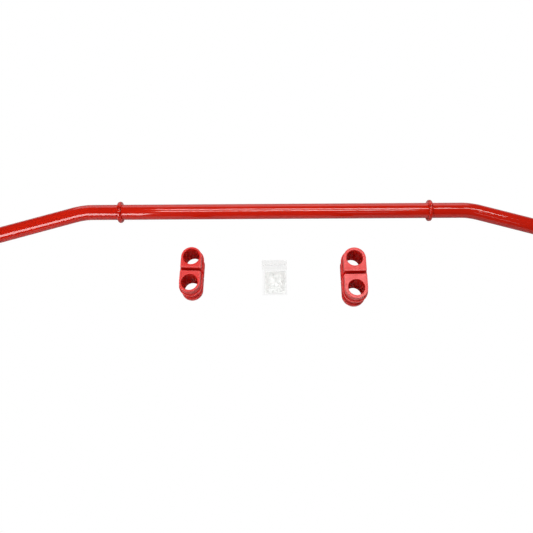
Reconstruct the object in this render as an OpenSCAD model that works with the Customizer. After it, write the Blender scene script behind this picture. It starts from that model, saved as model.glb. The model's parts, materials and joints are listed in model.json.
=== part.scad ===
// Solid sway bar kit: a bent spring-steel bar with two retaining collars and
// forged eyes, two sizes of split D bushing, and a small bag of bushing grease.
// The bar lies level on the collars and the eyes; the bushings stand on end.

/* [Bar] */
// Diameter of the solid bar
bar_d = 25.4; // [20:0.2:28]
// Distance from the centre of the bar to the corner of each shallow bend
shallow_bend_x = 323; // [290:1:330]
// Turn of each shallow bend
shallow_bend_deg = 16.7; // [10:0.1:25]
// Centreline radius of each shallow bend
shallow_bend_r = 105; // [80:1:110]
// Distance from the centre of the bar to each lever arm
arm_x = 505; // [495:1:540]
// Centreline radius of the bend into each lever arm
arm_bend_r = 60; // [40:1:62]
// Distance from the axis of the bar to the centre of each eye
eye_reach = 264.4; // [240:0.2:320]

/* [Eyes] */
// Height of the flattened eye, which is also its round end's diameter
eye_h = 35.6; // [34:0.2:36.4]
// Thickness of the flattened eye
eye_t = 12; // [8:0.5:16]
// Hole for the stud of the end link
eye_hole_d = 12.4; // [8:0.1:14]
// Straight part of the paddle behind the eye
paddle_l = 16; // [8:1:24]
// Length over which the round bar is forged down to the paddle
forge_l = 34; // [20:1:40]

/* [Collars] */
// Distance from the centre of the bar to the left retaining collar
left_collar_x = 261; // [200:1:280]
// Distance from the centre of the bar to the right retaining collar
right_collar_x = 255; // [200:1:280]
// Outer diameter of a collar
collar_d = 35.6; // [34:0.2:36.4]
// Width of a collar along the bar
collar_w = 6.8; // [6:0.2:12]
// Bevel on the outer edges of a collar
collar_bevel = 1.8; // [0.5:0.1:2.5]
// Gap between the two closed ends of a collar
collar_gap = 1.4; // [0.4:0.1:3]

/* [Bushings] */
// Length of a bushing along its bore
bush_l = 43.5; // [38:0.5:46]
// Clearance of the bore on the bar, on the diameter
bore_play = 0.2; // [0.2:0.1:0.8]
// Half width of the end collar of a left bushing
left_half_w = 16.2; // [15.5:0.1:18]
// Distance from the bore's axis to the flat base of a left bushing
left_base = 21.2; // [19:0.05:24]
// Half width of the end collar of a right bushing
right_half_w = 17.8; // [16:0.1:19]
// Distance from the bore's axis to the flat base of a right bushing
right_base = 24.2; // [22:0.05:27]
// How far the locating flange stands out from the end collar
flange_out = 2.2; // [1:0.1:3]
// How far the end collar stands back from the flat base
collar_back = 2.4; // [1:0.1:3]
// Thickness of the locating flange
flange_t = 3.2; // [2:0.1:6]
// Length of the end collar above the flange
end_collar_l = 15.5; // [8:0.1:18]
// Depth of the strap seat below the end collar's surface
seat_in = 1.5; // [0.5:0.1:1.8]
// How far the foot stands out from the end collar
foot_out = 0.9; // [0:0.1:2]
// Height of the foot below the strap seat
foot_l = 6.5; // [3:0.5:9]
// Width of the fitting slit from the bore to the base
slit_w = 0.4; // [0.3:0.1:1]

/* [Layout] */
// Distance from the centre of the bar to the left pair of bushings
left_pair_x = 136; // [100:0.1:180]
// Distance from the bar's axis to the line where the left pair meets
left_pair_y = 112.1; // [90:0.1:140]
// Turn of the left pair, seen from above
left_pair_turn = -1.65; // [-5:0.05:5]
// Distance from the centre of the bar to the right pair of bushings
right_pair_x = 122.5; // [100:0.1:180]
// Distance from the bar's axis to the line where the right pair meets
right_pair_y = 118.9; // [90:0.1:140]
// Turn of the right pair, seen from above
right_pair_turn = 0.4; // [-5:0.05:5]
// Gap left between the two bases of a pair
pair_gap = 0.3; // [0.2:0.1:1]

/* [Grease bag] */
// Width of the bag
bag_w = 42; // [36:1:50]
// Length of the bag
bag_l = 62; // [50:1:70]
// Thickness of the full part of the bag
bag_h = 6; // [4.5:0.5:10]
// Distance from the centre of the bar to the middle of the bag
bag_x = -4; // [-30:0.1:30]
// Distance from the bar's axis to the middle of the bag
bag_y = 111.4; // [90:0.1:140]
// Width of the sachet
sachet_w = 33; // [20:1:33]
// Length of the sachet
sachet_l = 38; // [20:1:38]
// Distance from the middle of the bag's width to the middle of the sachet
sachet_x = 1.2; // [-1.2:0.1:1.2]

/* [Hidden] */
$fn = 96;

// The bar's axis lies at the height of the collars' radius, and far enough back
// for the whole part to be centred on Y = 0.
axis_z = collar_d / 2;
axis_y = (eye_reach + eye_h / 2 - collar_d / 2) / 2;

// Bar: corner of the second bend, and tangent lengths of both bends
arm_turn_deg = 90 - shallow_bend_deg;
arm_corner_y = -(arm_x - shallow_bend_x) * tan(shallow_bend_deg);
shallow_tangent = shallow_bend_r * tan(shallow_bend_deg / 2);
arm_tangent = arm_bend_r * tan(arm_turn_deg / 2);
sloped_l = (arm_x - shallow_bend_x) / cos(shallow_bend_deg) - shallow_tangent - arm_tangent;
arm_start_y = arm_corner_y - arm_tangent;
forge_end_y = paddle_l - eye_reach;
forge_start_y = forge_end_y + forge_l;
forge_bite = 0.5;
forge_fn = 32;
paddle_h = eye_h - 2;
middle_l = 2 * (shallow_bend_x - shallow_tangent);
joint_t = 0.8;
joint_gap = 0.15;
joint_out = 0.12;

// Collar: how far the steel ring bites on the bar
collar_bite = 0.05;

// Bushing: bore, corners of the flat base and height of the locating flange
bore_r = (bar_d + bore_play) / 2;
base_corner = 1.6;
flange_z = bush_l - end_collar_l - flange_t;

// Bag: film, the slot between its two layers, seams and press-seal strip
film_t = 0.4;
slot_t = 0.5;
seam_w = 2;
flat_t = 2 * film_t + slot_t;
full_l = bag_l - 17;
full_w = bag_w - 4;
crown_w = full_w - 10;
crown_l = full_l - 12;
zip_w = 3;
zip_from_mouth = 9;
zip_t = 0.4;
sachet_h = 3;
bag_corner = 2;

bar_red = [0.78, 0.06, 0.08];
bushing_red = [0.86, 0.24, 0.24];

// ---------- shared shapes ----------

// Rectangle centred on the origin with quarter-round corners
module round_rect(w, l, r) {
    square([w - 2 * r, l], center = true);
    square([w, l - 2 * r], center = true);
    for (x = [-1, 1], y = [-1, 1])
        translate([x * (w / 2 - r), y * (l / 2 - r)])
            circle(r);
}

// Round bar along +X, reaching almost from the origin to l
module rod(l) {
    translate([joint_gap, 0, 0])
        rotate([0, 90, 0])
            cylinder(d = bar_d, h = l - 2 * joint_gap);
}

// Thin disc on the origin that closes the joint between two lengths of the bar
module joint() {
    rotate([0, 90, 0])
        cylinder(d = bar_d + joint_out, h = joint_t, center = true);
}

// Bend from +X towards -Y, starting at the origin
module bend(r, deg) {
    translate([0, -r, 0])
        rotate([0, 0, 90 - deg])
            rotate_extrude(angle = deg)
                translate([r, 0])
                    circle(d = bar_d);
}

// ---------- bar ----------

// Right arm in the bar's own plane, from the end of the middle length to the forging
module arm() {
    translate([middle_l / 2, 0, 0]) {
        joint();
        bend(shallow_bend_r, shallow_bend_deg);
    }
    translate([shallow_bend_x, 0, 0])
        rotate([0, 0, -shallow_bend_deg])
            translate([shallow_tangent, 0, 0]) {
                joint();
                rod(sloped_l);
                translate([sloped_l, 0, 0]) {
                    joint();
                    bend(arm_bend_r, arm_turn_deg);
                }
            }
    translate([arm_x, arm_start_y, 0])
        rotate([0, 0, -90]) {
            joint();
            rod(arm_start_y - forge_start_y);
        }
}

// Round bar forged down to a flat paddle, with a round eye at its end
module forged_eye() {
    hull() {
        translate([arm_x, forge_start_y + 2 * forge_bite, 0])
            rotate([90, 0, 0])
                cylinder(d = bar_d - forge_bite, h = forge_bite, $fn = forge_fn);
        translate([arm_x, forge_end_y, 0])
            rotate([90, 0, 0])
                linear_extrude(forge_bite)
                    square([eye_t - forge_bite, paddle_h - forge_bite], center = true);
    }
    difference() {
        translate([arm_x - eye_t / 2, -eye_reach, 0]) {
            translate([0, 0, -paddle_h / 2])
                cube([eye_t, paddle_l, paddle_h]);
            rotate([0, 90, 0])
                cylinder(d = eye_h, h = eye_t);
        }
        translate([arm_x - eye_t, -eye_reach, 0])
            rotate([0, 90, 0])
                cylinder(d = eye_hole_d, h = 2 * eye_t);
    }
}

module bar() {
    color(bar_red)
        translate([0, axis_y, axis_z]) {
            translate([-middle_l / 2, 0, 0])
                rod(middle_l);
            for (side = [0, 1])
                mirror([side, 0, 0]) {
                    arm();
                    forged_eye();
                }
        }
}

// ---------- collars ----------

// Half of the collar's section, as a ring about its own axis
module collar_ring() {
    inner = bar_d / 2 - collar_bite;
    outer = collar_d / 2;
    half = collar_w / 2;
    rotate_extrude()
        polygon([
            [inner, -half], [outer - collar_bevel, -half], [outer, collar_bevel - half],
            [outer, half - collar_bevel], [outer - collar_bevel, half], [inner, half]
        ]);
}

// Steel ring squeezed shut around the bar, with its closed gap on top
module collar(x) {
    color(bar_red)
        translate([x, axis_y, axis_z])
            rotate([0, 90, 0])
                difference() {
                    collar_ring();
                    translate([-collar_d, -collar_gap / 2, -collar_w])
                        cube([collar_d, collar_gap, 2 * collar_w]);
                }
}

// ---------- bushings ----------

// D outline with its dome towards +Y and its flat at -base
module d_outline(half_w, base, corner) {
    circle(half_w);
    translate([-half_w, corner - base])
        square([2 * half_w, base - corner]);
    translate([corner - half_w, -base])
        square([2 * (half_w - corner), base]);
    for (side = [-1, 1])
        translate([side * (half_w - corner), corner - base])
            circle(corner);
}

// One slice of a bushing, its dome standing out from (or in from) the end collar
module d_slice(half_w, base, out, z, h) {
    translate([0, 0, z])
        linear_extrude(h)
            d_outline(half_w + out, base, base_corner);
}

// Split D bushing standing on its foot: end collar, locating flange, strap seat
// and foot, with a plain bore and a fitting slit through the base.
// The end collar stands back from the base; the rest of the base is one flat.
module bushing(half_w, base) {
    difference() {
        union() {
            d_slice(half_w, base, foot_out, 0, foot_l);
            d_slice(half_w, base, -seat_in, foot_l, flange_z - foot_l);
            d_slice(half_w, base, flange_out, flange_z, flange_t);
            d_slice(half_w, base - collar_back, 0, flange_z + flange_t, end_collar_l);
        }
        translate([0, 0, -1])
            cylinder(r = bore_r, h = bush_l + 2);
        translate([-slit_w / 2, -base - 1, -1])
            cube([slit_w, base, bush_l + 2]);
    }
}

// Bushing of a pair: side is 1 for the rear one and -1 for the front one
module placed_bushing(x, pair_y, turn, half_w, base, side) {
    color(bushing_red)
        translate([x, axis_y - pair_y, 0])
            rotate([0, 0, turn])
                translate([0, side * (base + pair_gap / 2), 0])
                    rotate([0, 0, side > 0 ? 0 : 180])
                        bushing(half_w, base);
}

// Bushings of the left and the right pair
module left_bushing(side) {
    placed_bushing(-left_pair_x, left_pair_y, left_pair_turn, left_half_w, left_base, side);
}

module right_bushing(side) {
    placed_bushing(right_pair_x, right_pair_y, right_pair_turn, right_half_w, right_base, side);
}

// ---------- grease bag ----------

// Moves a shape to the middle of the bag, with the bag's mouth towards +Y
module at_bag() {
    translate([bag_x, axis_y - bag_y, 0])
        children();
}

// Low crowned block, lying on z, at the bag's closed end
module crowned(w, l, top_w, top_l, z, h) {
    translate([0, (full_l - bag_l) / 2, z])
        hull() {
            linear_extrude(film_t)
                round_rect(w, l, bag_corner);
            translate([0, 0, h - film_t])
                linear_extrude(film_t)
                    round_rect(top_w, top_l, bag_corner);
        }
}

// Two layers of film, seamed on three sides and open at the mouth
module bag_film() {
    slot_l = bag_l - seam_w;
    color([0.93, 0.94, 0.95, 0.5])
        at_bag()
            difference() {
                union() {
                    linear_extrude(flat_t)
                        round_rect(bag_w, bag_l, bag_corner);
                    crowned(full_w, full_l - 2, crown_w, crown_l, 0, bag_h);
                }
                translate([-bag_w / 2 + seam_w, -bag_l / 2 + seam_w, film_t])
                    cube([bag_w - 2 * seam_w, slot_l + 1, slot_t]);
                crowned(full_w - 2, full_l - 4, crown_w - 1, crown_l - 1, film_t, bag_h - 2 * film_t);
            }
}

// Press-seal strip between the two layers, just inside the mouth
module bag_zip() {
    color([0.88, 0.9, 0.92])
        at_bag()
            translate([0, bag_l / 2 - zip_from_mouth, film_t + (slot_t - zip_t) / 2])
                linear_extrude(zip_t)
                    square([bag_w - 2 * seam_w - 0.4, zip_w], center = true);
}

// Sealed sachet of grease, lying loose in the bag
module grease_sachet() {
    color([0.95, 0.95, 0.93])
        at_bag()
            translate([sachet_x, 0, film_t + 0.1])
                crowned(sachet_w, sachet_l, sachet_w - 6, sachet_l - 6, 0, sachet_h);
}

bar();
collar(-left_collar_x);  // left_collar
collar(right_collar_x);  // right_collar
left_bushing(1);  // left_rear_bushing
left_bushing(-1);  // left_front_bushing
right_bushing(1);  // right_rear_bushing
right_bushing(-1);  // right_front_bushing
bag_film();
bag_zip();
grease_sachet();
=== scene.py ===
"""Looks of the sway bar kit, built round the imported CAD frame. Units are metres."""
import json
import math

import bmesh
import bpy
import numpy as np
from mathutils import Matrix, Vector, noise


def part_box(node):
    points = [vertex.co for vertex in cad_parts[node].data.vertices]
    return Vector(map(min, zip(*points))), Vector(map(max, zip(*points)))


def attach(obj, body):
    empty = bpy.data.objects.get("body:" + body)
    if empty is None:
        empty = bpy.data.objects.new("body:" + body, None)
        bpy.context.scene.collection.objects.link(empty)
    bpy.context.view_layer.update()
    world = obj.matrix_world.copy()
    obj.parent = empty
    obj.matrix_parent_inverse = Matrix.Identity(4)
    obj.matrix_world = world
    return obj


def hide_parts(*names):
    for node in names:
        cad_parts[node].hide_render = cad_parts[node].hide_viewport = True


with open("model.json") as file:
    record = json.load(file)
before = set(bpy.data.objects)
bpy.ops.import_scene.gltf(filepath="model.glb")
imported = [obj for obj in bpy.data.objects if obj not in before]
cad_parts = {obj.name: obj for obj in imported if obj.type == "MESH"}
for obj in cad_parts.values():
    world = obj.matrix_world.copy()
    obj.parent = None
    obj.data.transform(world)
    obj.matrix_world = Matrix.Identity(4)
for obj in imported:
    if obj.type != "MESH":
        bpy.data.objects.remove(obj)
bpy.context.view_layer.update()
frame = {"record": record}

MM = 0.001

# ---------- sizes that part.scad also holds ----------
BAR_R = 12.7 * MM
SHALLOW_X = 323 * MM
SHALLOW_TURN = math.radians(16.7)
SHALLOW_R = 105 * MM
ARM_X = 505 * MM
ARM_TURN = math.radians(90) - SHALLOW_TURN
ARM_R = 60 * MM
EYE_REACH = 264.4 * MM
EYE_R = 17.8 * MM
EYE_HALF_T = 6 * MM
EYE_HOLE_R = 6.2 * MM
PADDLE_L = 16 * MM
PADDLE_HALF_H = 16.8 * MM
FORGE_L = 34 * MM
COLLAR_GAP = 1.4 * MM
BORE_R = 12.8 * MM
LEFT_HALF_W, LEFT_BASE, LEFT_TURN = 16.2 * MM, 21.2 * MM, math.radians(-1.65)
RIGHT_HALF_W, RIGHT_BASE, RIGHT_TURN = 17.8 * MM, 24.2 * MM, math.radians(0.4)
SEAM_W = 2 * MM

# Where the paddle and its forging start on an arm, as y from the bar's axis.
PADDLE_Y = PADDLE_L - EYE_REACH
FORGE_Y = PADDLE_Y + FORGE_L

# A bushing's slit closes almost shut under its own spring.
SLIT_W = 0.12 * MM

# Heights on a bushing's outside, in millimetres: where its foot, its seat, the flange's side and the
# flange's top face end, and where the end collar's plain wall starts.
FOOT_END, SEAT_END, FLANGE_SIDE_END, FLANGE_END, COLLAR_START = 6.3, 24.7, 27.4, 28.02, 28.4

# Painted sheen on each bushing's walls and on its top face, from 0 to 1, strongest on the right pair.
PAINTED_SHEEN = {
    "left_rear": (0.45, 0.03),
    "left_front": (0.5, 0.07),
    "right_rear": (0.62, 0.55),
    "right_front": (0.97, 0.9),
}


def centre(node):
    """Middle of a CAD node's box."""
    low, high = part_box(node)
    return (low + high) / 2


AXIS = Vector((0, centre("left_collar").y, centre("left_collar").z))
MOUNTS = {mount["name"]: Vector(mount["pos_m"]) for mount in frame["record"]["mounts"]}


# ---------- camera ----------
def make_camera():
    data = bpy.data.cameras.new("camera")
    data.lens = 39.111
    data.sensor_width = 36.0
    data.clip_end = 50.0
    camera = bpy.data.objects.new("camera", data)
    bpy.context.scene.collection.objects.link(camera)
    pitch, yaw, roll = math.radians(90 - 69.009), math.radians(1.206), math.radians(-1.436)
    turn = Matrix.Rotation(yaw, 4, "Z") @ Matrix.Rotation(pitch, 4, "X") @ Matrix.Rotation(roll, 4, "Z")
    camera.matrix_world = Matrix.Translation((-0.00971, -0.30133, 0.89047)) @ turn
    bpy.context.scene.camera = camera


make_camera()


# ---------- mesh helpers ----------
def add_mesh(name, verts, faces):
    """New linked mesh object."""
    mesh = bpy.data.meshes.new(name)
    mesh.from_pydata([tuple(v) for v in verts], [], faces)
    mesh.validate()
    made = bpy.data.objects.new(name, mesh)
    bpy.context.scene.collection.objects.link(made)
    return made


def outward(made):
    """Turns every face outward."""
    work = bmesh.new()
    work.from_mesh(made.data)
    bmesh.ops.recalc_face_normals(work, faces=work.faces)
    work.to_mesh(made.data)
    work.free()


def smooth(made, sharp_deg):
    """Smooth shading, with edges sharper than the angle kept crisp."""
    made.data.shade_smooth()
    made.data.set_sharp_from_angle(angle=math.radians(sharp_deg))


def declare(made, body, nodes, material):
    """Names the body, the CAD nodes that the piece stands for and its material."""
    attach(made, body)
    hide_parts(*nodes)
    made.data.materials.clear()
    made.data.materials.append(material)


def loft(rings, closed=True, cap_ends=True):
    """Vertices and faces of a skin over rings that have one vertex count."""
    count = len(rings[0])
    verts = [v for ring in rings for v in ring]
    faces = []
    steps = count if closed else count - 1
    for r in range(len(rings) - 1):
        for i in range(steps):
            j = (i + 1) % count
            faces.append((r * count + i, r * count + j, (r + 1) * count + j, (r + 1) * count + i))
    if cap_ends:
        last = (len(rings) - 1) * count
        faces.append(tuple(range(count - 1, -1, -1)))
        faces.append(tuple(range(last, last + count)))
    return verts, faces


def ease(t):
    """Smooth step from 0 to 1."""
    t = min(1.0, max(0.0, t))
    return t * t * (3 - 2 * t)


# ---------- materials ----------
def new_material(name):
    """A node material and its Principled shader."""
    material = bpy.data.materials.new(name)
    material.use_nodes = True
    return material, material.node_tree.nodes["Principled BSDF"]


def add_noise(material, scale, detail, rough=0.5):
    """Noise in object space, which doesn't slide when the piece moves."""
    tree = material.node_tree
    where = tree.nodes.new("ShaderNodeTexCoord")
    texture = tree.nodes.new("ShaderNodeTexNoise")
    texture.inputs["Scale"].default_value = scale
    texture.inputs["Detail"].default_value = detail
    texture.inputs["Roughness"].default_value = rough
    tree.links.new(where.outputs["Object"], texture.inputs["Vector"])
    return texture.outputs["Fac"]


def add_ramp(material, value, stops):
    """Colour ramp over a value: stops are (position, colour)."""
    tree = material.node_tree
    ramp = tree.nodes.new("ShaderNodeValToRGB")
    elements = ramp.color_ramp.elements
    while len(elements) < len(stops):
        elements.new(0.5)
    for element, (position, colour) in zip(elements, stops):
        element.position = position
        element.color = (*colour, 1.0)
    tree.links.new(value, ramp.inputs["Fac"])
    return ramp.outputs["Color"]


def add_bump(material, shader, height, depth, strength):
    """Bump of the given depth in metres."""
    tree = material.node_tree
    bump = tree.nodes.new("ShaderNodeBump")
    bump.inputs["Strength"].default_value = strength
    bump.inputs["Distance"].default_value = depth
    tree.links.new(height, bump.inputs["Height"])
    tree.links.new(bump.outputs["Normal"], shader.inputs["Normal"])


def powder_coat():
    """Gloss red powder coat with fine orange peel."""
    material, shader = new_material("powder_coat_red")
    tree = material.node_tree
    tone = add_noise(material, scale=9.0, detail=3.0)
    colour = add_ramp(material, tone, [(0.3, (0.50, 0.0085, 0.001)), (0.7, (0.56, 0.0105, 0.0015))])
    tree.links.new(colour, shader.inputs["Base Color"])
    grime = add_noise(material, scale=60.0, detail=5.0)
    gloss = add_ramp(material, grime, [(0.35, (0.07,) * 3), (0.75, (0.09,) * 3)])
    tree.links.new(gloss, shader.inputs["Roughness"])
    shader.inputs["IOR"].default_value = 1.5
    peel = add_noise(material, scale=300.0, detail=1.0)
    add_bump(material, shader, peel, depth=0.004 * MM, strength=0.5)
    return material


def polyurethane():
    """Satin moulded polyurethane, with a pale pink sheen painted over its red where light falls.

    The mesh's "surface" attribute holds the painted sheen in red and the shine in green."""
    material, shader = new_material("polyurethane_red")
    tree = material.node_tree
    tone = add_noise(material, scale=70.0, detail=4.0)
    plain_red = add_ramp(material, tone, [(0.3, (0.60, 0.010, 0.006)), (0.72, (0.67, 0.016, 0.011))])
    patchy = add_noise(material, scale=75.0, detail=5.0, rough=0.6)
    mask = add_ramp(material, patchy, [(0.32, (0.5,) * 3), (0.58, (1.0,) * 3)])
    attribute = tree.nodes.new("ShaderNodeAttribute")
    attribute.attribute_name = "surface"
    split = tree.nodes.new("ShaderNodeSeparateColor")
    tree.links.new(attribute.outputs["Color"], split.inputs["Color"])
    shine = shader.inputs["Specular IOR Level"]
    # The plain value is for readers that don't follow the link.
    shine.default_value = 0.3
    tree.links.new(split.outputs["Green"], shine)
    sheen_amount = tree.nodes.new("ShaderNodeMath")
    sheen_amount.operation = "MULTIPLY"
    tree.links.new(split.outputs["Red"], sheen_amount.inputs[0])
    tree.links.new(mask, sheen_amount.inputs[1])
    sheen_mix = tree.nodes.new("ShaderNodeMix")
    sheen_mix.data_type = "RGBA"
    tree.links.new(sheen_amount.outputs["Value"], sheen_mix.inputs["Factor"])
    tree.links.new(plain_red, sheen_mix.inputs["A"])
    # Pale pink of the painted sheen.
    sheen_mix.inputs["B"].default_value = (0.82, 0.135, 0.13, 1)
    tree.links.new(sheen_mix.outputs["Result"], shader.inputs["Base Color"])
    grain = add_noise(material, scale=900.0, detail=3.0)
    gloss = add_ramp(material, grain, [(0.3, (0.36,) * 3), (0.7, (0.5,) * 3)])
    tree.links.new(gloss, shader.inputs["Roughness"])
    shader.inputs["Subsurface Weight"].default_value = 0.12
    shader.inputs["Subsurface Radius"].default_value = (0.004, 0.0012, 0.001)
    shader.inputs["Subsurface Scale"].default_value = 1.0
    add_bump(material, shader, grain, depth=0.04 * MM, strength=0.5)
    return material


def clear_film():
    """Thin clear polythene: the mesh's "haze" attribute says how cloudy it is."""
    material, shader = new_material("clear_film")
    tree = material.node_tree
    shader.inputs["Base Color"].default_value = (0.44, 0.435, 0.405, 1)
    shader.inputs["Roughness"].default_value = 0.14
    crease = add_noise(material, scale=180.0, detail=4.0, rough=0.6)
    uneven = add_ramp(material, crease, [(0.35, (0.8,) * 3), (0.7, (1.0,) * 3)])
    attribute = tree.nodes.new("ShaderNodeAttribute")
    attribute.attribute_name = "haze"
    alpha = tree.nodes.new("ShaderNodeMath")
    alpha.operation = "MULTIPLY"
    tree.links.new(attribute.outputs["Fac"], alpha.inputs[0])
    tree.links.new(uneven, alpha.inputs[1])
    tree.links.new(alpha.outputs["Value"], shader.inputs["Alpha"])
    add_bump(material, shader, crease, depth=0.2 * MM, strength=0.3)
    return material


def seal_plastic():
    """Milky press-seal strip."""
    material, shader = new_material("press_seal_plastic")
    tone = add_noise(material, scale=300.0, detail=2.0)
    colour = add_ramp(material, tone, [(0.3, (0.80, 0.81, 0.82)), (0.7, (0.90, 0.90, 0.91))])
    material.node_tree.links.new(colour, shader.inputs["Base Color"])
    shader.inputs["Roughness"].default_value = 0.3
    shader.inputs["Alpha"].default_value = 0.2
    return material


def sachet_film():
    """Frosted film over pale grease, with darker blotches painted in at random as the shade of its creases.
    """
    material, shader = new_material("sachet_film")
    tree = material.node_tree
    blotch = add_noise(material, scale=190.0, detail=2.5)
    # The darker stops are painted crease shade.
    stops = [(0.28, (0.62, 0.63, 0.61)), (0.42, (0.85, 0.865, 0.85)), (0.66, (0.93, 0.945, 0.93))]
    colour = add_ramp(material, blotch, stops)
    tree.links.new(colour, shader.inputs["Base Color"])
    shader.inputs["Roughness"].default_value = 0.28
    shader.inputs["Subsurface Weight"].default_value = 0.15
    shader.inputs["Subsurface Radius"].default_value = (0.002, 0.002, 0.002)
    shader.inputs["Subsurface Scale"].default_value = 1.0
    add_bump(material, shader, blotch, depth=0.3 * MM, strength=0.4)
    return material


COAT = powder_coat()
RUBBER = polyurethane()
FILM = clear_film()
SEAL = seal_plastic()
SACHET = sachet_film()


# ---------- bar ----------
def bar_stations():
    """Centreline of the right half, from the middle: (x, y, heading) with y from the bar's axis."""
    shallow_tangent = SHALLOW_R * math.tan(SHALLOW_TURN / 2)
    arm_tangent = ARM_R * math.tan(ARM_TURN / 2)
    sloped = (ARM_X - SHALLOW_X) / math.cos(SHALLOW_TURN) - shallow_tangent - arm_tangent
    x, y, heading = 0.0, 0.0, 0.0
    stations = [(x, y, heading)]

    def go(length, steps):
        nonlocal x, y
        for _ in range(steps):
            x += math.cos(heading) * length / steps
            y -= math.sin(heading) * length / steps
            stations.append((x, y, heading))

    def turn(radius, angle, steps):
        nonlocal x, y, heading
        for _ in range(steps):
            half = angle / steps / 2
            chord = 2 * radius * math.sin(half)
            x += math.cos(heading + half) * chord
            y -= math.sin(heading + half) * chord
            heading += 2 * half
            stations.append((x, y, heading))

    go(SHALLOW_X - shallow_tangent, 16)
    turn(SHALLOW_R, SHALLOW_TURN, 12)
    go(sloped, 5)
    turn(ARM_R, ARM_TURN, 36)
    go(y - FORGE_Y, 7)
    return stations


def superellipse(half_x, half_z, power):
    """Closed section: a circle at power 2, a soft-cornered oblong above it."""
    count = 72
    points = []
    for i in range(count):
        a = 2 * math.pi * (i + 0.5) / count
        c, s = math.cos(a), math.sin(a)
        x = half_x * math.copysign(abs(c) ** (2 / power), c)
        z = half_z * math.copysign(abs(s) ** (2 / power), s)
        points.append((x, z))
    return points


def eye_sections():
    """Forged end of an arm as (y, half thickness, half height, power), from round bar to tip."""
    sections = []
    round_power, flat_power = 2, 9
    # Forging, from the round bar to the paddle.
    steps = 26
    for i in range(1, steps + 1):
        t = i / steps
        half_x = BAR_R + (EYE_HALF_T - BAR_R) * ease(t)
        half_z = BAR_R + (PADDLE_HALF_H - BAR_R) * ease(t)
        power = round_power + (flat_power - round_power) * ease(t) ** 2
        sections.append((FORGE_Y - t * FORGE_L, half_x, half_z, power))
    # Paddle, to the middle of the eye.
    for i in range(1, 9):
        y = PADDLE_Y - PADDLE_L * i / 8
        from_eye = y + EYE_REACH
        round_z = math.sqrt(max(0.0, EYE_R**2 - from_eye**2))
        sections.append((y, EYE_HALF_T, max(PADDLE_HALF_H, round_z), flat_power))
    # Outer half of the eye, with a rounded rim, to just short of its tip.
    rim = 2 * MM
    tip_angle = 89.4
    for i in range(1, 31):
        past = EYE_R * math.sin(math.radians(min(3 * i, tip_angle)))
        half_z = math.sqrt(EYE_R**2 - past**2)
        over = max(0.0, past - (EYE_R - rim))
        half_x = EYE_HALF_T - rim + math.sqrt(rim**2 - over**2)
        sections.append((-EYE_REACH - past, half_x, half_z, flat_power))
    return sections


def half_bar_rings():
    """Rings of the right half, in the bar's own plane, from the middle to the tip."""
    rings = []
    for x, y, heading in bar_stations():
        across = Vector((math.sin(heading), math.cos(heading), 0))
        ring = [Vector((x, y, 0)) + across * a + Vector((0, 0, b)) for a, b in superellipse(BAR_R, BAR_R, 2)]
        rings.append(ring)
    for y, half_x, half_z, power in eye_sections():
        rings.append([Vector((ARM_X + a, y, b)) for a, b in superellipse(half_x, half_z, power)])
    return rings


def eye_cutter(side):
    """Solid that drills the stud hole and its chamfers."""
    chamfer = 0.9 * MM
    sides = 64
    spans = [
        (-3 * EYE_HALF_T, EYE_HOLE_R + chamfer),
        (-EYE_HALF_T, EYE_HOLE_R + chamfer),
        (-EYE_HALF_T + chamfer, EYE_HOLE_R),
        (EYE_HALF_T - chamfer, EYE_HOLE_R),
        (EYE_HALF_T, EYE_HOLE_R + chamfer),
        (3 * EYE_HALF_T, EYE_HOLE_R + chamfer),
    ]
    middle = Vector((side * ARM_X, AXIS.y - EYE_REACH, AXIS.z))
    rings = []
    for x, r in spans:
        angles = [2 * math.pi * i / sides for i in range(sides)]
        rings.append([middle + Vector((x, r * math.cos(a), r * math.sin(a))) for a in angles])
    return add_mesh("cutter", *loft(rings))


def drill(made, cutters):
    """Cuts the cutters out of a piece and removes them."""
    for cutter in cutters:
        outward(cutter)
        cut = made.modifiers.new("drill", "BOOLEAN")
        cut.operation = "DIFFERENCE"
        cut.solver = "EXACT"
        cut.object = cutter
    graph = bpy.context.evaluated_depsgraph_get()
    result = bpy.data.meshes.new_from_object(made.evaluated_get(graph))
    made.modifiers.clear()
    made.data = result
    for cutter in cutters:
        bpy.data.objects.remove(cutter)


def make_bar():
    """One skin from tip to tip, with both eyes drilled."""
    right = [[AXIS + p for p in ring] for ring in half_bar_rings()]
    left = [[Vector((-p.x, p.y, p.z)) for p in ring] for ring in right[:0:-1]]
    made = add_mesh("sway_bar", *loft(left + right))
    outward(made)
    drill(made, [eye_cutter(-1), eye_cutter(1)])
    declare(made, "bar_with_collars", ["bar"], COAT)
    smooth(made, 35)


# ---------- collars ----------
def collar_section():
    """Half-round band with soft bevels and a web of coating where it meets the bar: (along, radius)."""
    low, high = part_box("left_collar")
    half = (high.x - low.x) / 2
    top = (high.z - low.z) / 2
    web = 0.3 * MM
    crest = 2.6 * MM
    flat = 0.12
    side = [
        (half + web, BAR_R - 0.1 * MM),
        (half + web * 0.55, BAR_R + 0.08 * MM),
        (half + web * 0.2, BAR_R + 0.3 * MM),
        (half, BAR_R + 0.8 * MM),
        (half, top - crest),
    ]
    for i in range(1, 9):
        a = math.radians(90 * i / 8)
        side.append((half * (flat + (1 - flat) * math.cos(a)), top - crest * (1 - math.sin(a))))
    return side + [(-x, r) for x, r in side[::-1]]


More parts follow.
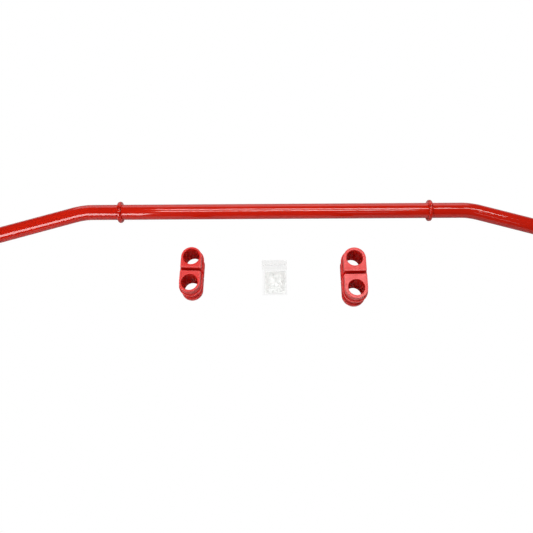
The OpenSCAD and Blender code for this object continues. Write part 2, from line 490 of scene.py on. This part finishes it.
def make_collar(name, node):
    """Band squeezed round the bar, with its closed gap facing up and its two ends rounded over."""
    middle = Vector((centre(node).x, AXIS.y, AXIS.z))
    gap = COLLAR_GAP / 2 / EYE_R
    pinches = {0: 0.55 * MM, 1: 0.12 * MM}
    steps = 120
    rings = []
    for i in range(steps + 1):
        a = gap + (2 * math.pi - 2 * gap) * i / steps
        pinch = pinches.get(min(i, steps - i), 0.0)
        ring = []
        for x, r in collar_section():
            held = max(BAR_R - 0.1 * MM, r - pinch) if r > BAR_R + MM else r
            ring.append(middle + Vector((x * (1 - pinch / (4 * MM)), held * math.sin(a), held * math.cos(a))))
        rings.append(ring)
    made = add_mesh(name, *loft(rings))
    outward(made)
    declare(made, "bar_with_collars", [node], COAT)
    smooth(made, 50)


# ---------- bushings ----------
def d_points(half_w, base, corner):
    """D outline round the bore, from one side of the slit to the other, dome towards +Y."""
    half_slit = SLIT_W / 2
    straight = half_w - corner
    points = [(half_slit + (straight - half_slit) * i / 14, -base) for i in range(14)]
    for i in range(9):
        a = math.radians(-90 + 90 * i / 8)
        points.append((straight + corner * math.cos(a), corner - base + corner * math.sin(a)))
    points += [(half_w, (corner - base) * (1 - i / 12)) for i in range(1, 12)]
    for i in range(33):
        a = math.radians(90 * i / 32)
        points.append((half_w * math.cos(a), half_w * math.sin(a)))
    return points + [(-x, y) for x, y in points[-2::-1]]


def bore_points(outer, radius):
    """Bore points facing the outline's points, from one side of the slit to the other."""
    angles = np.unwrap([math.atan2(y, x) for x, y in outer])
    share = (angles - angles[0]) / (angles[-1] - angles[0])
    half_slit = math.asin(SLIT_W / 2 / radius)
    around = half_slit - math.pi / 2 + share * 2 * (math.pi - half_slit)
    return [(radius * math.cos(a), radius * math.sin(a)) for a in around]


def outer_profile():
    """Outside of a bushing from its foot to its top face: (out, back, z) in millimetres.

    out moves the dome from the end collar's surface, and back moves the flat in from the base."""
    return [
        (0.1, 0.9, 0.0), (0.6, 0.3, 0.12), (0.85, 0.05, 0.5), (0.9, 0.0, 1.1),
        (0.9, 0.0, 5.5), (0.8, 0.0, 6.1), (0.45, 0.0, 6.4), (-1.1, 0.0, 6.5),
        (-1.4, 0.0, 6.7), (-1.5, 0.0, 7.2), (-1.5, 0.0, 13.0), (-1.5, 0.0, 19.0),
        (-1.5, 0.0, 24.1), (-1.4, 0.0, 24.55), (-1.1, 0.0, 24.75), (1.7, 0.0, 24.8),
        (2.1, 0.03, 24.95), (2.2, 0.1, 25.4), (2.2, 0.1, 27.3), (2.1, 0.2, 27.75),
        (1.75, 0.5, 28.0), (0.6, 1.8, 28.05), (0.25, 2.15, 28.2), (0.12, 2.3, 28.7),
        (0.05, 2.35, 34.0), (0.0, 2.4, 42.6), (-0.08, 2.45, 43.05), (-0.3, 2.65, 43.38),
        (-0.7, 3.05, 43.5),
    ]


def knurl(angle, z):
    """Depth of the crossed grease grooves in the bore, from 0 to 1."""
    turns, pitch = 14, 5.2 * MM
    land = 0.55
    a = math.sin(turns * angle + 2 * math.pi * z / pitch)
    b = math.sin(turns * angle - 2 * math.pi * z / pitch)
    return max(0.0, max(a, b) - land) / (1 - land)


def bore_ring(outer, z, length):
    """One ring of the bore's wall, with grease grooves that stop short of its ends and of the slit."""
    run_out, slit_angle = 4 * MM, 0.35
    depth = 0.35 * MM * ease(min(z, length - z) / run_out)
    ring = []
    for x, y in bore_points(outer, BORE_R):
        away = min(abs(math.atan2(x, -y)) / slit_angle, 1.0)
        grow = 1 + depth * knurl(math.atan2(y, x), z) * away / BORE_R
        ring.append((x * grow, y * grow, z))
    return ring


def bend_slit(ring, z, length):
    """Moves a ring's two ends sideways, as the blade that cut the slit wandered."""
    drift = 0.2 * MM * math.sin(2 * math.pi * z / length)
    for end in (0, -1):
        x, y, height = ring[end]
        ring[end] = (x + drift, y, height)
    return ring


def bushing_rings(half_w, base, length):
    """Rings from the foot of the bore, out, up and over to its top and back down inside."""
    corner = 1.6 * MM
    foot_chamfer, top_chamfer = 0.6 * MM, 0.7 * MM
    plain = d_points(half_w, base, corner)
    rings = [[(x, y, 0.0) for x, y in bore_points(plain, BORE_R + foot_chamfer)]]
    for out, back, z in outer_profile():
        outline = d_points(half_w + out * MM, base - back * MM, corner)
        rings.append([(x, y, z * MM) for x, y in outline])
    rim = bore_points(plain, BORE_R + top_chamfer)
    edge = rings[-1]
    for t in (0.3, 0.65, 1.0):
        rings.append([(x + (u - x) * t, y + (v - y) * t, length) for (x, y, _), (u, v) in zip(edge, rim)])
    rings.append([(x, y, length - 0.2 * MM) for x, y in bore_points(plain, BORE_R + 0.2 * MM)])
    steps = 70
    for i in range(steps + 1):
        z = length - top_chamfer - (length - top_chamfer - foot_chamfer) * i / steps
        rings.append(bore_ring(plain, z, length))
    return [bend_slit(ring, ring[0][2], length) for ring in rings]


def sheen_share(z):
    """Share of the painted sheen at a height on a bushing's wall, from 0 to 1: it fades down the end collar's
    wall towards the flange and is none or little in the corner over the flange and on the seat under it, as
    painted shade.
    """
    if z > COLLAR_START:
        return 0.1 + 0.9 * min(1.0, (z - COLLAR_START) / 14)
    if z > FLANGE_END:
        return 0.0
    if z > SEAT_END:
        return 0.8 if z > FLANGE_SIDE_END else 0.5
    return 0.1 if z > FOOT_END else 1.0


def add_surface(made, rings, base, wall_sheen, face_sheen):
    """Painted sheen and shade, and shine, of a bushing's outside. Its bore and its flat stay bare and almost
    dull.
    """
    surface = made.data.color_attributes.new("surface", "FLOAT_COLOR", "POINT")
    count = len(rings[0])
    walls = [sheen_share(z) for _, _, z in outer_profile()]
    face_rings, face_share = 3, 0.8
    # Painted sheen per ring: none on the foot's chamfer and the bore, shaded down the wall, and the face's
    # own amount on the top face.
    painted_sheens = [0.0] + [wall_sheen * share for share in walls] + [face_sheen] * face_rings
    shares = [0.0] + walls + [face_share] * face_rings
    flat_depth = 2.6 * MM
    for r, ring in enumerate(rings):
        for c, (_, y, _) in enumerate(ring):
            bare = r >= len(shares) or shares[r] == 0.0 or y < flat_depth - base
            shine = 0.06 if bare else 0.18 + 0.17 * shares[r]
            surface.data[r * count + c].color = (0.0 if bare else painted_sheens[r], shine, 0, 1)


def make_bushing(name, node, half_w, base, turn, painted_sheens):
    """Slit D bushing standing on its foot; turn is from a dome that faces +Y.

    Its skin runs on from the last ring to the first one, and its two ends are the slit's faces."""
    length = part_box(node)[1].z
    middle = MOUNTS[node.replace("_bushing", "_bore")]
    around = Matrix.Translation((middle.x, middle.y, 0)) @ Matrix.Rotation(turn, 4, "Z")
    local = bushing_rings(half_w, base, length)
    rings = [[around @ Vector(point) for point in ring] for ring in local]
    count = len(rings[0])
    verts, faces = loft(rings + [rings[0]], closed=False, cap_ends=False)
    total = len(rings) * count
    faces = [tuple(i % total for i in face) for face in faces]
    for end in (0, count - 1):
        faces.append(tuple(r * count + end for r in range(len(rings))))
    made = add_mesh(name, verts[:total], faces)
    outward(made)
    add_surface(made, local, base, *painted_sheens)
    declare(made, node, [node], RUBBER)
    smooth(made, 40)


# ---------- grease bag ----------
def grid_points(node, columns, rows, height):
    """Grid over a CAD node's box, as rows from -Y to +Y. height takes x and y from the box's middle."""
    low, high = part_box(node)
    middle = (low + high) / 2
    points = []
    for r in range(rows + 1):
        y = (high.y - low.y) * (r / rows - 0.5)
        for c in range(columns + 1):
            x = (high.x - low.x) * (c / columns - 0.5)
            points.append(Vector((middle.x + x, middle.y + y, height(x, y))))
    return points


def grid_faces(columns, rows, turned=False):
    """Quads over a grid, facing up, or down if turned."""
    faces = []
    for r in range(rows):
        for c in range(columns):
            a = r * (columns + 1) + c
            quad = (a, a + 1, a + columns + 2, a + columns + 1)
            faces.append(quad[::-1] if turned else quad)
    return faces


def pouch(name, top, bottom, columns, rows):
    """Closed skin from a top and a bottom grid that share the top's rim."""
    count = len(top)
    own = {}
    for i in range(count):
        r, c = divmod(i, columns + 1)
        if 0 < r < rows and 0 < c < columns:
            own[i] = count + len(own)
    verts = top + [bottom[i] for i in own]
    under = [tuple(own.get(i, i) for i in face) for face in grid_faces(columns, rows, turned=True)]
    return add_mesh(name, verts, grid_faces(columns, rows) + under)


def sachet_height(up):
    """Height of a creased pillow's skin over its flat crimped seams, from x and y off its middle."""
    low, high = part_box("grease_sachet")
    half_w, half_l = (high.x - low.x) / 2, (high.y - low.y) / 2
    rest, full = low.z, high.z
    seam_z = rest + 0.7 * MM
    seam_w, swell = 1.8 * MM, 6.5 * MM
    crimp_depth, crimp_pitch = 0.07 * MM, 1.1 * MM

    def height(x, y):
        inside = min(half_w - abs(x), half_l - abs(y))
        fill = ease((inside - seam_w) / swell) ** 0.7
        at = Vector((x, y, 0.05 * up)) * 150
        folds = 1 - abs(noise.noise(at)) * 2.6
        lumps = 0.62 + 0.3 * folds + 0.25 * noise.noise(at * 0.5 + Vector((3, 1, 0)))
        crimp = crimp_depth * math.cos(2 * math.pi * (x + y) / crimp_pitch) * (1 - fill)
        reach = (full - seam_z) if up > 0 else (rest - seam_z)
        return seam_z + crimp + reach * fill * min(1.0, max(0.25, lumps))

    return height


def make_sachet():
    """Sealed sachet of grease, creased from being folded into its bag."""
    columns, rows = 50, 60
    skins = [grid_points("grease_sachet", columns, rows, sachet_height(up)) for up in (1, -1)]
    made = pouch("sachet_of_grease", *skins, columns, rows)
    declare(made, "grease_bag", ["grease_sachet"], SACHET)
    smooth(made, 60)
    return made


def seal_profile():
    """Section of the press-seal strip, with two low ridges: (along the bag, up) from its middle."""
    low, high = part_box("bag_zip")
    half, thick = (high.y - low.y) / 2, high.z - low.z
    web, ridge_r = thick * 0.4, half * 0.26
    points = [(-half, 0), (half, 0), (half, web)]
    for ridge_y in (half * 0.55, -half * 0.3):
        for i in range(9):
            a = math.pi * i / 8
            points.append((ridge_y + ridge_r * math.cos(a), web + (thick - web) * math.sin(a)))
    return points + [(-half, web)]


def make_seal():
    """Press-seal strip across the bag, just inside its mouth."""
    low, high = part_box("bag_zip")
    middle_y = (low.y + high.y) / 2
    steps = 40
    rings = []
    for i in range(steps + 1):
        x = low.x + (high.x - low.x) * i / steps
        rings.append([Vector((x, middle_y + y, low.z + z)) for y, z in seal_profile()])
    made = add_mesh("press_seal", *loft(rings))
    outward(made)
    declare(made, "grease_bag", ["bag_zip"], SEAL)
    smooth(made, 40)
    return made


def scaled_copy(made, scale):
    """Collider for the cloth: a piece blown up about the origin."""
    mesh = made.data.copy()
    mesh.transform(Matrix.Scale(scale, 4))
    collider = bpy.data.objects.new("collider", mesh)
    bpy.context.scene.collection.objects.link(collider)
    collider.modifiers.new("hold", "COLLISION")
    collider.collision.thickness_outer = 0.003
    collider.collision.cloth_friction = 12.0
    return collider


def drape(top, columns, rows, held, colliders, scale=15, frames=28):
    """Drops a loose grid of film on the colliders, blown up so that the solver copes with its size."""
    sheet = add_mesh("falling_film", [v * scale for v in top], grid_faces(columns, rows))
    pins = sheet.vertex_groups.new(name="pins")
    pins.add(held, 1.0, "REPLACE")
    solids = [scaled_copy(piece, scale) for piece in colliders]
    reach, back_z = 9, 0.35 * MM
    corners = [(-reach, -reach), (reach, -reach), (reach, reach), (-reach, reach)]
    table = add_mesh("collider_table", [(x, y, back_z * scale) for x, y in corners], [(0, 1, 2, 3)])
    table.modifiers.new("hold", "COLLISION")
    cloth = sheet.modifiers.new("cloth", "CLOTH")
    cloth.settings.vertex_group_mass = "pins"
    cloth.settings.quality = 6
    cloth.settings.mass = 0.25
    cloth.settings.tension_stiffness = 60
    cloth.settings.compression_stiffness = 60
    cloth.settings.shear_stiffness = 30
    cloth.settings.bending_stiffness = 0.15
    cloth.settings.air_damping = 2.0
    cloth.collision_settings.distance_min = 0.004
    cloth.collision_settings.collision_quality = 4
    for frame_number in range(1, frames + 1):
        bpy.context.scene.frame_set(frame_number)
    graph = bpy.context.evaluated_depsgraph_get()
    settled = [v.co / scale for v in sheet.evaluated_get(graph).data.vertices]
    for piece in [sheet, table, *solids]:
        bpy.data.objects.remove(piece)
    bpy.context.scene.frame_set(1)
    return settled


def lift_clear(points):
    """Keeps the front of the film just above the sachet and the press-seal strip."""
    low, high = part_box("grease_sachet")
    middle, skin = (low + high) / 2, sachet_height(1)
    strip_low, strip_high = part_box("bag_zip")
    margin = 1.2 * MM
    over_sachet, over_strip = 0.35 * MM, 0.15 * MM
    for v in points:
        if low.x - margin < v.x < high.x + margin and low.y - margin < v.y < high.y + margin:
            v.z = max(v.z, skin(v.x - middle.x, v.y - middle.y) + over_sachet)
        if strip_low.x < v.x < strip_high.x and strip_low.y - margin < v.y < strip_high.y + margin:
            v.z = max(v.z, strip_high.z + over_strip)
    return points


def add_haze(made):
    """Haze of the film: cloudy at its loose mouth and over the sachet, and clear beside it."""
    low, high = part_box("grease_sachet")
    haze = made.data.color_attributes.new("haze", "FLOAT_COLOR", "POINT")
    fade = 4 * MM
    mouth_haze, clear_haze, added_haze = 0.13, 0.035, 0.085
    for i, vertex in enumerate(made.data.vertices):
        mouth = ease((vertex.co.y - high.y) / fade)
        inside = min(vertex.co.x - low.x, high.x - vertex.co.x, vertex.co.y - low.y, high.y - vertex.co.y)
        level = max(mouth_haze * mouth, clear_haze + added_haze * ease(1 + inside / fade))
        haze.data[i].color = (level, level, level, 1)


def make_film(sachet, seal):
    """Bag of thin film: a flat back and a loose front that settles over what is inside."""
    low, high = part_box("bag_film")
    columns, rows = 42, 61
    half_w, half_l = (high.x - low.x) / 2, (high.y - low.y) / 2
    seam_z = 0.45 * MM
    loose, bulge = 1.1 * MM, 4.2 * MM
    swell, header = 8 * MM, half_l * 0.45

    def from_edge(x, y):
        return min(half_w - abs(x), half_l - abs(y))

    def slack(x, y):
        rise = ease((from_edge(x, y) - SEAM_W) / swell)
        over = ease((header - y) / (10 * MM))
        ripple = MM * noise.noise(Vector((x, y, 0.2)) * 260)
        return seam_z + rise * (loose + bulge * over + ripple)

    def back(x, y):
        return 0.15 * MM + 0.12 * MM * noise.noise(Vector((x, y, 0.7)) * 200)

    top = grid_points("bag_film", columns, rows, slack)
    middle = centre("bag_film")
    held = [i for i, v in enumerate(top) if from_edge(v.x - middle.x, v.y - middle.y) < SEAM_W]
    settled = lift_clear(drape(top, columns, rows, held, [sachet, seal]))
    made = pouch("grease_bag_film", settled, grid_points("bag_film", columns, rows, back), columns, rows)
    add_haze(made)
    declare(made, "grease_bag", ["bag_film"], FILM)
    made.modifiers.new("finer", "SUBSURF").render_levels = 1
    smooth(made, 60)


def make_bag():
    """Press-seal bag with a sachet of bushing grease."""
    sachet = make_sachet()
    seal = make_seal()
    make_film(sachet, seal)


# ---------- stage ----------
GROUND_Z = -1 * MM


def dome_rings(radius):
    """Rings of a half sphere over the ground, almost up to its top."""
    around = [math.radians(10 * k) for k in range(36)]
    steps, top_angle = 16, 89.5
    rings = []
    for i in range(steps + 1):
        a = math.radians(top_angle * i / steps)
        flat, up = radius * math.cos(a), radius * math.sin(a)
        rings.append([(flat * math.cos(b), flat * math.sin(b), up + GROUND_Z) for b in around])
    return rings


def make_floor():
    half = 6
    corners = [(-half, -half, 0), (half, -half, 0), (half, half, 0), (-half, half, 0)]
    table = add_mesh("table", corners, [(0, 1, 2, 3)])
    material, shader = new_material("table_white")
    shader.inputs["Base Color"].default_value = (0.62, 0.62, 0.62, 1)
    shader.inputs["Roughness"].default_value = 1.0
    shader.inputs["Specular IOR Level"].default_value = 0.0
    table.data.materials.append(material)
    table.visible_camera = False
    ground = add_mesh("ground", [(x, y, GROUND_Z) for x, y, _ in corners], [(0, 1, 2, 3)])
    backdrop = add_mesh("backdrop", *loft(dome_rings(5.5), cap_ends=False))
    material, shader = new_material("ground_white")
    shader.inputs["Base Color"].default_value = (0, 0, 0, 1)
    shader.inputs["Specular IOR Level"].default_value = 0.0
    shader.inputs["Emission Color"].default_value = (1, 1, 1, 1)
    shader.inputs["Emission Strength"].default_value = 1.0
    for shown in (ground, backdrop):
        shown.data.materials.append(material)
        shown.visible_diffuse = False
        shown.visible_glossy = False
        shown.visible_shadow = False


def lamp_place(x, elevation, distance):
    """Point at a distance from the bar's axis, with its elevation measured from the -Y horizon."""
    a = math.radians(elevation)
    return AXIS + Vector((x, -distance * math.cos(a), distance * math.sin(a)))


def add_strip(name, low_end, high_end, distance, width, radiance, gloss_only=False, unseen=False):
    """Soft strip between two ends, each given as (x, elevation in degrees), facing the bar.

    gloss_only lights only the reflections, and unseen lights everything but them."""
    low, high = lamp_place(*low_end, distance), lamp_place(*high_end, distance)
    middle, along = (low + high) / 2, (high - low).normalized()
    out = middle - Vector((middle.x, AXIS.y, AXIS.z))
    out = (out - out.dot(along) * along).normalized()
    data = bpy.data.lights.new(name, "AREA")
    data.shape = "RECTANGLE"
    data.size = (high - low).length
    data.size_y = width
    data.energy = radiance * math.pi * data.size * data.size_y
    lamp = bpy.data.objects.new(name, data)
    bpy.context.scene.collection.objects.link(lamp)
    turn = Matrix((along, out.cross(along), out)).transposed()
    lamp.matrix_world = Matrix.Translation(middle) @ turn.to_4x4()
    lamp.visible_diffuse = not gloss_only
    lamp.visible_glossy = not unseen


def make_lights():
    """Two overhead strips, a card low on the left, faint fills and a dim plain room."""
    world = bpy.data.worlds.new("room")
    world.use_nodes = True
    background = world.node_tree.nodes["Background"]
    background.inputs["Color"].default_value = (1, 1, 1, 1)
    background.inputs["Strength"].default_value = 0.09
    bpy.context.scene.world = world
    add_strip("strip_top", (-0.51, 103.5), (0.82, 93.55), distance=1.6, width=0.19, radiance=15.4)
    add_strip("strip_second", (-0.39, 73.5), (0.47, 74.5), distance=1.0, width=0.12, radiance=13.6)
    add_strip("card_left", (-0.75, 44), (-0.29, 31), distance=0.36, width=0.15, radiance=9.2, gloss_only=True)
    add_strip("fill_left", (-0.9, 40), (-0.3, 40), distance=0.9, width=0.4, radiance=4.8, unseen=True)
    add_strip("strip_faint", (0.26, 42), (0.46, 42), distance=1.3, width=0.12, radiance=2.0, gloss_only=True)
    add_strip("back_soft", (-1.3, 162), (1.1, 162), distance=2.0, width=1.3, radiance=1.5)


make_bar()
make_collar("left_collar_ring", "left_collar")
make_collar("right_collar_ring", "right_collar")
for place, half_turn in (("rear", 0), ("front", math.pi)):
    left, right = f"left_{place}", f"right_{place}"
    left_turn, right_turn = LEFT_TURN + half_turn, RIGHT_TURN + half_turn
    make_bushing(f"bushing_{left}", f"{left}_bushing", LEFT_HALF_W, LEFT_BASE, left_turn, PAINTED_SHEEN[left])
    make_bushing(f"bushing_{right}", f"{right}_bushing", RIGHT_HALF_W, RIGHT_BASE, right_turn, PAINTED_SHEEN[right])
make_bag()
make_floor()
make_lights()
bpy.context.scene.view_settings.view_transform = "Standard"
